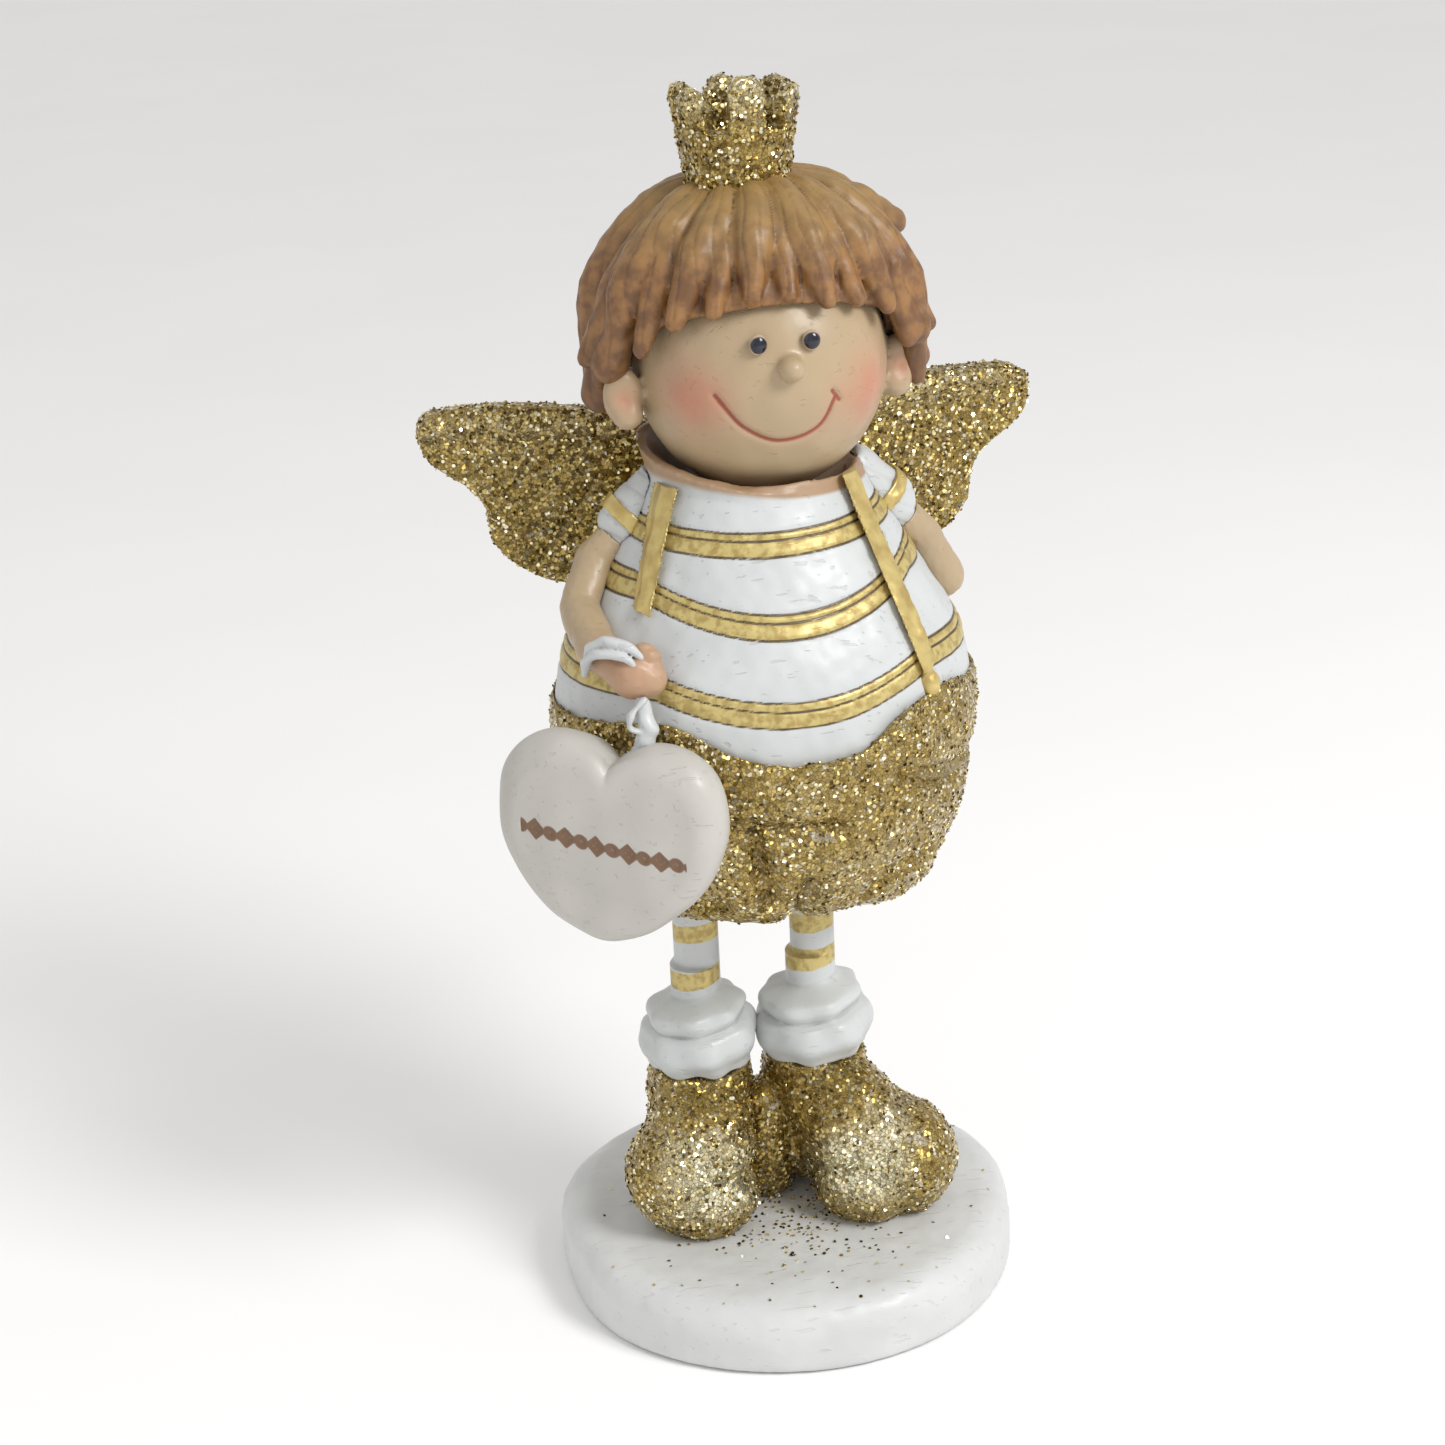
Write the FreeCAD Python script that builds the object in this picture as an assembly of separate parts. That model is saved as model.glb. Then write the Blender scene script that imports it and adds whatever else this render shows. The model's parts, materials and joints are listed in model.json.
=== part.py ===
import FreeCAD, Part
import math
import os

# Wobble-head angel figurine: a cast body on a pebble-shaped plate, wings, a heart,
# and a head on a coil spring.
# Millimetres, +Z up, the figure faces -Y, and its right hand is on the -X side.
# The origin is the middle of the plate's underside.

V = FreeCAD.Vector
X, Y, Z = V(1, 0, 0), V(0, 1, 0), V(0, 0, 1)

# Driving dimensions: lengths are millimetres and places are (x, y, z) from the figure's own axis
FIGURE_Y = 1.8          # the figure stands this far behind the middle of the plate
PLATE_T = 7.0           # plate thickness
CUFF_Z = 22.3           # top of the shoes, where the rolled sock cuffs start
CUFF_TOP = 33.0
LEG_R = 2.45
LEG_TOP = 43.0
WAIST_SIDE_Z = 63.0     # edge of the shorts at the sides
WAIST_FRONT_Z = 59.6    # and its low point in front
SHIRT_TOP_Z = 84.0
STRAP_T = 1.0
STRAP_W = 2.2
WING_T = 2.2
WING_SWEEP = 10.0       # degrees that each wing leans back
HEART_T = 5.6
HEART_CENTRE = (-18.0, -14.8, 53.9)
HEART_TURN = -30.0      # degrees that the heart's face turns to the figure's right
HEART_ROLL = -5.0       # degrees clockwise in its own plane
HEAD = (0.9, 0.0, 93.9)
HEAD_R = (11.9, 11.5, 12.5)
HEAD_GAP = 1.15         # clearance between the head and the neck collar
COLLAR_X, COLLAR_Z = -0.5, 84.8
COLLAR_TILT = (0.68, 0.73, 12.2)  # axis (x, y) and degrees that the rim's plane leans
SPRING_R, WIRE_R, SPRING_PITCH = 3.3, 0.3, 0.72
SPRING_Z0, SPRING_Z1 = 75.4, 87.6
WELL_R = 4.5            # wells for the spring, below in the body and above in the head
WELL_Z0, WELL_Z1 = 75.0, 88.0
WELL_CUT = 20.0         # length of the cutter for the body's well, out past the collar
PEG_R = 2.85
BODY_X = -0.3           # the belly's axis
CAP = (0.8, 1.2, 93.8)    # middle and radii of the hair's bell shape
CAP_R = (13.6, 12.8, 16.6)
CROWN_Z0, CROWN_Z1 = 110.2, 120.6
CROWN_X, CROWN_Y = -0.4, 0.3
LOCK_SPREAD = 1.0       # how far the tips of the locks stand out

built = {}


def at(x, y, z):
    """A point given from the figure's own axis."""
    return V(x, y + FIGURE_Y, z)


def placed(point):
    return at(*point)


def ellipsoid(centre, radii):
    ball = Part.makeSphere(1.0)
    stretch = FreeCAD.Matrix()
    stretch.scale(*radii)
    ball = ball.transformGeometry(stretch)
    ball.translate(placed(centre))
    return ball


def limb(points, radii):
    """Balls at the points, joined by tapered rods that meet them tangentially."""
    points = [placed(p) for p in points]
    shape = Part.makeSphere(radii[0], points[0])
    for (a, ra), (b, rb) in zip(zip(points, radii), zip(points[1:], radii[1:])):
        axis = b - a
        length = axis.Length
        axis.normalize()
        lean = (ra - rb) / length
        reach = math.sqrt(1 - lean * lean)
        start, stop = a + axis * (ra * lean), b + axis * (rb * lean)
        if abs(ra - rb) < 1e-6:
            rod = Part.makeCylinder(ra, length, a, axis)
        else:
            rod = Part.makeCone(ra * reach, rb * reach, (stop - start).Length, start, axis)
        shape = shape.fuse([rod, Part.makeSphere(rb, b)])
    return shape.removeSplitter()


def ring_wire(z, rx, ry, cx, cy):
    """A horizontal oval, always started on the +X side so that lofts don't twist."""
    long_x = rx >= ry
    oval = Part.Ellipse(placed((cx, cy, z)), max(rx, ry), min(rx, ry))
    if not long_x:
        oval.rotate(FreeCAD.Placement(placed((cx, cy, z)), FreeCAD.Rotation(Z, 90), V(0, 0, 0)))
    return Part.Wire([oval.toShape()])


def stack(sections, grow=0.0):
    """A smooth solid through ovals (z, rx, ry, cy)."""
    wires = [ring_wire(z, rx + grow, ry + grow, BODY_X, cy) for z, rx, ry, cy in sections]
    return Part.makeLoft(wires, True, False)


def turned(profile, centre):
    """A solid of revolution about a vertical axis, from (radius, z) points."""
    x, y = centre
    points = [at(x + r, y, z) for r, z in profile]
    edge = Part.makePolygon(points + [points[0]])
    return Part.Face(edge).revolve(at(x, y, 0), Z, 360)


def front_outline(points, y0, depth):
    """An (x, z) polygon swept along Y."""
    corners = [at(x, y0, z) for x, z in points]
    return Part.Face(Part.makePolygon(corners + [corners[0]])).extrude(Y * depth)


def slab_above(points, y0, depth):
    """Everything above a smooth (x, z) line, swept along Y."""
    line = Part.BSplineCurve()
    line.interpolate([at(x, y0, z) for x, z in points])
    left, right = placed((points[0][0], y0, 200)), placed((points[-1][0], y0, 200))
    edges = [line.toShape(),
             Part.makeLine(line.EndPoint, right),
             Part.makeLine(right, left),
             Part.makeLine(left, line.StartPoint)]
    return Part.Face(Part.Wire(edges)).extrude(Y * depth)


def carve(shape, *names):
    """The largest piece of the shape that the named parts leave free."""
    neighbours = [built[name] for name in names]
    rest = shape.cut(neighbours) if neighbours else shape
    return max(rest.Solids, key=lambda solid: solid.Volume)


def keep(name, shape):
    built[name] = shape
    return shape


# ---------------------------------------------------------------- plate, shoes, cuffs, legs

def base_plate():
    rim = [(23, 1), (20.2, 13), (11.4, 21.2), (-1, 23.3), (-13.4, 20.8), (-21, 12.6), (-23, 1),
           (-20.8, -11), (-12.8, -19.8), (0.5, -23.3), (12, -19.4), (18.8, -12)]
    outline = Part.BSplineCurve()
    outline.interpolate([V(x, y, 0) for x, y in rim], True)
    plate = Part.Face(Part.Wire([outline.toShape()])).extrude(Z * PLATE_T)
    top = [e for e in plate.Edges if e.BoundBox.ZMin > PLATE_T - 0.01]
    bottom = [e for e in plate.Edges if e.BoundBox.ZMax < 0.01]
    return plate.makeFillet(3.0, top).makeFillet(0.8, bottom)


def shoe(toe, instep, heel, ankle, radii):
    """A boot whose toe is a big ball, cut flat on the plate and under the cuff."""
    shape = limb([toe, instep, heel, ankle], radii)
    ground = Part.makeBox(80, 80, PLATE_T + 10, V(-40, -40, -10))
    above = Part.makeBox(80, 80, 40, V(-40, -40, CUFF_Z))
    return max(shape.cut([ground, above]).Solids, key=lambda solid: solid.Volume)


def cuff(centre, girth):
    profile = [(0, CUFF_Z), (girth - 0.7, CUFF_Z), (girth - 0.1, CUFF_Z + 2), (girth, CUFF_Z + 4.4),
               (girth - 0.5, CUFF_Z + 6.4), (girth - 1.5, CUFF_Z + 8.2), (LEG_R + 0.6, CUFF_TOP),
               (0, CUFF_TOP)]
    return turned(profile, centre)


def leg(centre):
    x, y = centre
    return Part.makeCylinder(LEG_R, LEG_TOP - CUFF_Z - 1, at(x, y, CUFF_Z + 1))


keep("base_plate", base_plate())
keep("right_leg", leg((-7.7, 1.0)))
keep("left_leg", leg((4.1, 0.6)))
RIGHT_SHOE = [(-11.0, -4.4, 12.7), (-9.2, -0.4, 13.4), (-7.8, 2.6, 12.6), (-8.2, 0.6, 22)]
LEFT_SHOE = [(10.3, -6.6, 12.3), (6.4, -2.2, 13.6), (3.6, 2.4, 12.6), (3.6, 0.4, 22)]
keep("right_shoe", shoe(*RIGHT_SHOE, (6.2, 5.5, 5.8, 5.1)))
keep("left_shoe", shoe(*LEFT_SHOE, (6.0, 5.8, 5.7, 5.2)))
keep("right_sock_cuff", carve(cuff((-8.2, 0.5), 5.5), "right_leg"))
keep("left_sock_cuff", carve(cuff((3.5, 0.2), 5.6), "left_leg"))

# ---------------------------------------------------------------- head ball, neck collar, shirt, shorts

HEAD_BALL = ellipsoid(HEAD, HEAD_R)
SOCKET = ellipsoid(HEAD, [r + HEAD_GAP for r in HEAD_R])

SHIRT = [(54, 18.6, 15.4, -0.6), (58, 19.7, 16.3, -0.8), (62, 20.1, 16.6, -0.9), (66, 19.6, 16.2, -0.9),
         (70, 17.9, 14.9, -0.7), (74, 15.5, 13.0, -0.5), (78, 13.0, 11.2, -0.3), (81.5, 11.0, 9.9, -0.1),
         (SHIRT_TOP_Z, 9.9, 9.2, 0)]
SHORTS = [(41, 14.2, 12.4, 0), (45, 17.2, 14.8, -0.2), (50, 19.2, 16.6, -0.4), (55, 20.3, 17.4, -0.7),
          (60, 20.7, 17.5, -0.9), (66, 20.3, 17.2, -0.9)]


def neck_collar():
    """A flared cup that follows the head's underside; its rim falls to the front and to the figure's left."""
    cup = turned([(0, 78.6), (8.8, 78.6), (9.4, 82), (10.0, 84.4), (10.9, 87.6), (0, 87.6)], (COLLAR_X, 0))
    tilted = Part.makeBox(60, 60, 20, V(-30, -30, 0))
    tilted.rotate(V(0, 0, 0), V(COLLAR_TILT[0], COLLAR_TILT[1], 0), COLLAR_TILT[2])
    tilted.translate(at(0, 0, COLLAR_Z))
    well = Part.makeCylinder(WELL_R, WELL_CUT, at(0, 0, WELL_Z0))
    return max(cup.cut([SOCKET, tilted, well]).Solids, key=lambda solid: solid.Volume)


def shirt():
    well = Part.makeCylinder(WELL_R, WELL_CUT, at(0, 0, WELL_Z0))
    return carve(stack(SHIRT).cut([well, SOCKET]), "neck_collar")


def shorts():
    """A full seat over two puffed legs, with a waist that dips in front."""
    seat = stack(SHORTS)
    puffs = [ellipsoid((-7.2, 0, 44.6), (9.4, 10.6, 7.3)), ellipsoid((6.8, 0, 43.9), (9.8, 10.8, 7.5))]
    edge = [(-26, 62), (-20, WAIST_SIDE_Z), (-13, 64.4), (-6, 61.2), (0, WAIST_FRONT_Z), (6, 60.8),
            (13, 64.4), (20, WAIST_SIDE_Z), (26, 62)]
    waist = slab_above(edge, -40, 80)
    shape = seat.fuse(puffs).cut(waist)
    return carve(max(shape.Solids, key=lambda s: s.Volume), "shirt", "right_leg", "left_leg")


keep("neck_collar", neck_collar())
keep("shirt", shirt())
keep("shorts", shorts())

# ---------------------------------------------------------------- suspenders

SKIN = stack(SHIRT, STRAP_T)


def strap_strip(top, bottom, width, y0, depth):
    """The stretch of the shirt's outer skin behind a slanted strip."""
    (x0, z0), (x1, z1) = top, bottom
    run = math.hypot(x1 - x0, z1 - z0)
    dx, dz = (z0 - z1) / run * width / 2, (x1 - x0) / run * width / 2
    corners = [(x0 - dx, z0 - dz), (x1 - dx, z1 - dz), (x1 + dx, z1 + dz), (x0 + dx, z0 + dz)]
    return front_outline(corners, y0, depth).common(SKIN)


def suspender(front_top, front_end, width, back_top, back_end):
    """The strap's front and back runs; the collar hides the stretch over the shoulder."""
    front = strap_strip(front_top, front_end, width, -30, 30)
    back = strap_strip(back_top, back_end, STRAP_W, 0, 30)
    taken = [SOCKET] + [built[name] for name in ("shirt", "shorts", "neck_collar")]
    runs = [max(run.cut(taken).Solids, key=lambda s: s.Volume) for run in (front, back)]
    return Part.makeCompound(runs)


# The right strap lies where the shirt turns away, so it is narrower when seen from in front.
keep("right_suspender", suspender((-8.9, 85), (-13.2, 73.2), 1.35, (-8.6, 85), (-10.4, 64.5)))
keep("left_suspender", suspender((7.2, 85), (13.0, 66.2), 2.0, (8.6, 85), (10.4, 64.5)))
CLIP = Part.makeCylinder(1.6, 2.6, at(13.1, -14.4, 65.2), V(-0.45, 0.89, 0))
keep("left_suspender_clip", carve(CLIP, "shirt", "shorts", "left_suspender"))

# ---------------------------------------------------------------- sleeves, arms, hands

def sleeve_end(shoulder, end, radius, start, length):
    """A band round the sleeve, a little proud of it."""
    axis = placed(end) - placed(shoulder)
    axis.normalize()
    return Part.makeCylinder(radius, length, placed(shoulder) + axis * start, axis)


ARMS = {
    "right": dict(
        shoulder=(-9.2, 0.6, 82.0), sleeve=(-12.3, 0.5, 79.2), sleeve_r=(2.7, 2.9),
        path=[(-12.3, 0.5, 79.2), (-15.8, -0.4, 76.0), (-17.9, -2.8, 72.4), (-17.6, -8.0, 70.3),
              (-16.4, -11.6, 69.6)],
        hand=[(-16.4, -11.6, 69.6), (-14.9, -13.4, 69.0), (-13.7, -14.0, 68.6)]),
    "left": dict(
        shoulder=(9.4, 0.6, 82.0), sleeve=(12.9, 0.9, 78.4), sleeve_r=(2.7, 2.9),
        path=[(12.9, 0.9, 78.4), (16.4, 1.2, 74.6), (18.8, 2.2, 69.8), (18.5, 7.6, 67.4), (16.2, 11.2, 66.6)],
        hand=[(16.2, 11.2, 66.6), (14.6, 12.6, 66.2), (13.2, 13.2, 66.0)]),
}
ARM_R = [1.9, 1.95, 2.0, 1.95, 1.8]
HAND_R = [1.8, 2.3, 1.7]
BAND_R, BAND_START, BAND_W = 3.15, 3.2, 1.5   # gold band: radius, distance from the shoulder, width

for side, arm in ARMS.items():
    body = ["shirt", "neck_collar", "shorts", f"{side}_suspender"]
    sleeve = limb([arm["shoulder"], arm["sleeve"]], arm["sleeve_r"])
    keep(f"{side}_sleeve", carve(sleeve.cut(SOCKET), *body))
    band = sleeve_end(arm["shoulder"], arm["sleeve"], BAND_R, BAND_START, BAND_W)
    keep(f"{side}_sleeve_band", carve(band, *body, f"{side}_sleeve"))
    body += [f"{side}_sleeve", f"{side}_sleeve_band"]
    keep(f"{side}_arm", carve(limb(arm["path"], ARM_R), *body))
    keep(f"{side}_hand", carve(limb(arm["hand"], HAND_R), *body, f"{side}_arm"))

# ---------------------------------------------------------------- ribbon and heart

HEART_HALF = [(0, 7.3), (2.2, 9.1), (5.4, 9.6), (8.8, 8.1), (10.7, 4.4), (10.7, 0.6), (9.2, -3.4),
              (6.2, -7.0), (2.9, -9.3)]


def heart():
    """A fat, domed heart that hangs against the shorts at the right front."""
    outline = HEART_HALF + [(0, -10.1)] + [(-x, z) for x, z in reversed(HEART_HALF)]
    layers = []
    for depth, scale in ((-HEART_T / 2, 0.80), (-HEART_T / 5, 1.0), (HEART_T / 5, 1.0), (HEART_T / 2, 0.80)):
        curve = Part.BSplineCurve()
        curve.interpolate([V(x * scale, depth, z * scale) for x, z in outline])
        layers.append(Part.Wire([curve.toShape()]))
    shape = Part.makeLoft(layers, True, False)
    shape.rotate(V(0, 0, 0), Y, -HEART_ROLL)
    shape.rotate(V(0, 0, 0), Z, HEART_TURN)
    shape.translate(placed(HEART_CENTRE))
    return shape


RIBBON_CENTRE = (-16.0, -12.2, 69.5)
loop = Part.makeTorus(2.5, 0.55, placed(RIBBON_CENTRE), V(0.55, -0.75, -0.25))
keep("ribbon_loop", carve(loop, "right_arm", "right_hand", "shirt"))
TAIL = limb([(-14.6, -14.9, 66.6), (-14.2, -15.6, 64.2), (-15.0, -15.2, 61.8)], [0.7, 0.9, 1.0])
keep("ribbon_tail", carve(TAIL, "right_hand", "ribbon_loop", "shirt", "shorts"))
keep("heart", carve(heart(), "shorts", "shirt", "ribbon_tail"))

# ---------------------------------------------------------------- wings

WING_EDGE = [(4.0, 84.2), (12.5, 87.3), (20.0, 88.4), (26.5, 88.4), (30.2, 87.2), (30.4, 84.6), (27.6, 81.6),
             (24.6, 78.4), (24.2, 75.6), (22.0, 72.6), (18.0, 70.6), (13.0, 70.8), (6.0, 73.2)]


def wing(side, reach, droop):
    outline = Part.BSplineCurve()
    outline.interpolate([V(side * x * reach, 0, z) for x, z in WING_EDGE], True)
    plate = Part.Face(Part.Wire([outline.toShape()])).extrude(Y * WING_T)
    plate.rotate(V(side * 4, 0, 80), Y, side * droop)
    plate.rotate(V(side * 4, 0, 0), Z, side * WING_SWEEP)
    plate.translate(at(0, 8.6, 0))
    return plate


for side, sign, reach, droop in (("right", -1, 1.0, 0), ("left", 1, 1.03, 2.5)):
    touching = ["shirt", "neck_collar", "right_suspender", "left_suspender", f"{side}_arm", f"{side}_sleeve"]
    keep(f"{side}_wing", carve(wing(sign, reach, droop), *touching))

# ---------------------------------------------------------------- spring and its pegs

def coil_spring():
    """A close-wound spring: round wire swept along a helix."""
    height = SPRING_Z1 - SPRING_Z0 - 2 * WIRE_R
    path = Part.makeHelix(SPRING_PITCH, height, SPRING_R)
    ring = Part.Wire([Part.Circle(V(SPRING_R, 0, 0), Y, WIRE_R).toShape()])
    spring = Part.Wire(path.Edges).makePipeShell([ring], True, True)
    spring.translate(at(0, 0, SPRING_Z0 + WIRE_R))
    return spring


def head_plug():
    """The peg inside the spring's top, with the disc that is glued up into the head."""
    peg = Part.makeCylinder(PEG_R, WELL_Z1 - 84.6, at(0, 0, 84.6))
    disc = Part.makeCylinder(WELL_R, 1.4, at(0, 0, WELL_Z1))
    return peg.fuse(disc).removeSplitter()


keep("spring_peg", Part.makeCylinder(PEG_R, 79.0 - WELL_Z0, at(0, 0, WELL_Z0)))
keep("neck_spring", coil_spring())
keep("head_plug", head_plug())

# ---------------------------------------------------------------- head, face, hair

def head():
    well = Part.makeCylinder(WELL_R + 0.3, WELL_Z1 - 70, at(0, 0, 70))
    return carve(HEAD_BALL.cut(well), "head_plug")


def on_cap(turn, drop, lift=0.0):
    """A point on the hair: turn is degrees round from the front, drop is degrees down from the top."""
    a, d = math.radians(turn), math.radians(drop)
    return (CAP[0] + (CAP_R[0] + lift) * math.sin(d) * math.sin(a),
            CAP[1] - (CAP_R[1] + lift) * math.sin(d) * math.cos(a),
            CAP[2] + (CAP_R[2] + lift) * math.cos(d))


def locks(rows, radii, *names):
    """Tapered locks that lie on the hair, clear of each other, and spread a little towards their tips."""
    taken = [built[name] for name in names]
    solids = []
    for turn, start, tip, bend in rows:
        steps = (0, 0.5, 1)
        points = [on_cap(turn + bend * s, start + (tip - start) * s, 0.3 + LOCK_SPREAD * s * s)
                  for s in steps]
        lock = limb(points, radii).cut(taken)
        solids.append(max(lock.Solids, key=lambda solid: solid.Volume))
    return Part.makeCompound(solids)


def hair_cap():
    """The mass of hair over the head, open at the face and the nape."""
    mass = ellipsoid(CAP, CAP_R)
    side = [at(-30, -30, 108.5), at(-30, 20, 86), at(-30, 20, 60), at(-30, -30, 60)]
    below = Part.Face(Part.makePolygon(side + [side[0]])).extrude(X * 60)
    return carve(mass.cut(below), "head", "right_ear", "left_ear")


NOSE, NOSE_R = (1.2, -11.8, 95.5), (1.25, 1.6, 1.2)
EYES, EYE_R = [(-1.6, -11.1, 97.9), (3.3, -11.0, 97.7)], (0.85, 0.7, 0.95)
RIGHT_EAR = [(-12.3, -2.7, 90.4), (-12.7, -2.5, 91.8)]   # lobe, then the ear's upper end
LEFT_EAR = [(13.4, -1.6, 90.8), (13.9, -1.4, 92.4)]
EAR_R = (1.5, 1.7)

keep("head", head())
keep("nose", carve(ellipsoid(NOSE, NOSE_R), "head"))
keep("right_ear", carve(limb(RIGHT_EAR, EAR_R), "head"))
keep("left_ear", carve(limb(LEFT_EAR, EAR_R), "head"))
keep("eyes", Part.makeCompound([carve(ellipsoid(centre, EYE_R), "head") for centre in EYES]))


def crown():
    """A flared, open cup whose rim is cut into rounded points, the front one tallest."""
    height = CROWN_Z1 - CROWN_Z0
    outer = Part.makeCone(4.7, 6.3, height, at(CROWN_X, CROWN_Y, CROWN_Z0))
    inner = Part.makeCone(3.6, 5.1, height, at(CROWN_X, CROWN_Y, CROWN_Z0 + 1.6))
    band = Part.makeBox(20, 20, 5.4, at(CROWN_X - 10, CROWN_Y - 10, CROWN_Z0))
    teeth = [band]
    for step in range(6):
        rise = CROWN_Z1 - 1.7 if step == 0 else CROWN_Z1 - 3.0
        tooth = Part.makeBox(8, 3.4, rise - CROWN_Z0, at(CROWN_X, CROWN_Y - 1.7, CROWN_Z0))
        tooth = tooth.fuse(Part.makeCylinder(1.7, 8, at(CROWN_X, CROWN_Y, rise), X))
        tooth.rotate(at(CROWN_X, CROWN_Y, 0), Z, 60 * step - 90)
        teeth.append(tooth)
    mask = teeth[0].fuse(teeth[1:])
    return carve(outer.cut(inner).common(mask))


keep("crown", crown())
keep("hair_cap", carve(hair_cap(), "crown"))
TUFTS = []
for turn, start, tip, bend in ((-50, 26, 56, -8), (54, 24, 52, 10)):
    points = [on_cap(turn + bend * s, start + (tip - start) * s, 1.4 + s) for s in (0, 0.5, 1)]
    TUFTS.append(carve(limb(points, (1.5, 2.0, 1.5)), "hair_cap", "crown"))
keep("hair_top_tufts", Part.makeCompound(TUFTS))

# turn round from the front, start and tip down from the top, bend sideways, all in degrees
FRINGE = [(-52, 38, 70, -4), (-35, 38, 69, -4), (-18, 38, 67, -3), (-2, 38, 62, 0), (13, 38, 63, 3),
          (28, 38, 65, 4), (45, 38, 66, 4)]
RIGHT_SIDE = [(-72, 40, 86, -4), (-90, 40, 98, -4), (-108, 40, 98, -3)]
LEFT_SIDE = [(66, 40, 82, 4), (84, 40, 94, 4), (102, 40, 98, 4)]
BACK = [(126 + 17 * step, 38, 97, 0) for step in range(7)]
ON_HEAD = ("head", "hair_cap", "right_ear", "left_ear", "hair_top_tufts")
keep("hair_fringe", locks(FRINGE, (1.0, 1.35, 1.5), *ON_HEAD))
keep("hair_right_locks", locks(RIGHT_SIDE, (1.2, 1.7, 1.8), *ON_HEAD, "hair_fringe"))
keep("hair_left_locks", locks(LEFT_SIDE, (1.2, 1.7, 1.8), *ON_HEAD, "hair_fringe"))
keep("hair_back_locks", locks(BACK, (1.1, 1.6, 1.7), *ON_HEAD, "hair_right_locks", "hair_left_locks"))

os.makedirs("parts", exist_ok=True)
for name, shape in built.items():
    if not shape.isValid():
        raise SystemExit(f"{name} is not a valid solid")
    shape.exportStep(f"parts/{name}.step")
    print(f"{name}: {len(shape.Solids)} solid(s), {shape.Volume:.1f} mm3")
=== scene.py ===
import json
import math

import bpy
import numpy as np
from mathutils import Matrix, Vector


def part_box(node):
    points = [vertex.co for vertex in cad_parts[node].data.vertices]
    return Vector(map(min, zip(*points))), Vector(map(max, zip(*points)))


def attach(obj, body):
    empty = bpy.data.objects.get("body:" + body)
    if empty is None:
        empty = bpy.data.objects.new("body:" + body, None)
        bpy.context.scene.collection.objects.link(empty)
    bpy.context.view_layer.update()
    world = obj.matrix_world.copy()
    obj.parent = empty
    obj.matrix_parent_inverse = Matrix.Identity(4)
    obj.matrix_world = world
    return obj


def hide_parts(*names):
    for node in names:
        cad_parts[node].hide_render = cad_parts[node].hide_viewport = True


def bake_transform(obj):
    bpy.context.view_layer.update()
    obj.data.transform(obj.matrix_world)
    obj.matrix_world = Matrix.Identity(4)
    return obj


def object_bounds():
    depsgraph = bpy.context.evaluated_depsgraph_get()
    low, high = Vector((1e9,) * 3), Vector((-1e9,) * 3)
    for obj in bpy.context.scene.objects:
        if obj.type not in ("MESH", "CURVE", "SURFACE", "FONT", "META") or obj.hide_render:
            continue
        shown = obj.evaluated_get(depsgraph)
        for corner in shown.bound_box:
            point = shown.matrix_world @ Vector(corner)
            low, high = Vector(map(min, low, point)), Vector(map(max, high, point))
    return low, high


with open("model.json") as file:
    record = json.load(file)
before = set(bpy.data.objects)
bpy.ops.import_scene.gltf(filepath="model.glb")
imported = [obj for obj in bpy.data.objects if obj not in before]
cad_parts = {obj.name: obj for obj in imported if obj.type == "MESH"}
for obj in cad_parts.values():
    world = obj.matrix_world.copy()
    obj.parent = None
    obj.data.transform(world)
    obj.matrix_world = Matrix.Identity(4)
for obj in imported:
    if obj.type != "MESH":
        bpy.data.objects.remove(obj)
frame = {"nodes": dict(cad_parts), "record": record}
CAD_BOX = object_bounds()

# Wobble-head angel figurine: painted resin casts, a glitter coat, and a head on a hidden coil spring.
# Working lengths are millimetres in the row frame; make_mesh turns them into metres.

MM = 0.001
PIVOT = np.array(frame["record"]["behaviour"]["joints"][0]["pos_m"]) / MM
AXIS = np.array((0, PIVOT[1], 0))   # the figure's own axis, a little behind the plate's middle
HEIGHT = CAD_BOX[1].z / MM
FLAKE = 0.17                        # radius of one glitter flake


# ---------------------------------------------------------------- places from the frame

def low(node):
    return np.array(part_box(node)[0]) / MM


def high(node):
    return np.array(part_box(node)[1]) / MM


def middle(node):
    return (low(node) + high(node)) / 2


def spot(node, u, v, w):
    """A point in a node's box: 0 to 1 along X, Y and Z from its lowest corner."""
    return low(node) + (high(node) - low(node)) * np.array((u, v, w))


HEAD_MID = middle("head") - AXIS
COLLAR_REACH = (high("head") - low("head")) / 2 + 1.3   # out to the collar's inner face
# inside the head, straight behind the middle of the nose
FACE = np.array((middle("nose")[0], HEAD_MID[1], middle("nose")[2]))


# ---------------------------------------------------------------- closed shells

def node_shell(node):
    mesh = frame["nodes"][node].data
    co = np.empty(len(mesh.vertices) * 3)
    mesh.vertices.foreach_get("co", co)
    return co.reshape(-1, 3) / MM, [tuple(p.vertices) for p in mesh.polygons]


def ball(centre, radii, rings=14, sides=22):
    points = [(0, 0, 1)]
    for i in range(1, rings):
        a = math.pi * i / rings
        points += [(math.sin(a) * math.cos(b), math.sin(a) * math.sin(b), math.cos(a))
                   for b in np.arange(sides) * 2 * math.pi / sides]
    points.append((0, 0, -1))
    faces = [(0, 1 + j, 1 + (j + 1) % sides) for j in range(sides)]
    for i in range(rings - 2):
        a, b = 1 + i * sides, 1 + (i + 1) * sides
        faces += [(a + j, b + j, b + (j + 1) % sides, a + (j + 1) % sides) for j in range(sides)]
    last = 1 + (rings - 2) * sides
    faces += [(last + j, len(points) - 1, last + (j + 1) % sides) for j in range(sides)]
    return np.array(points) * np.array(radii) + np.array(centre), faces


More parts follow.
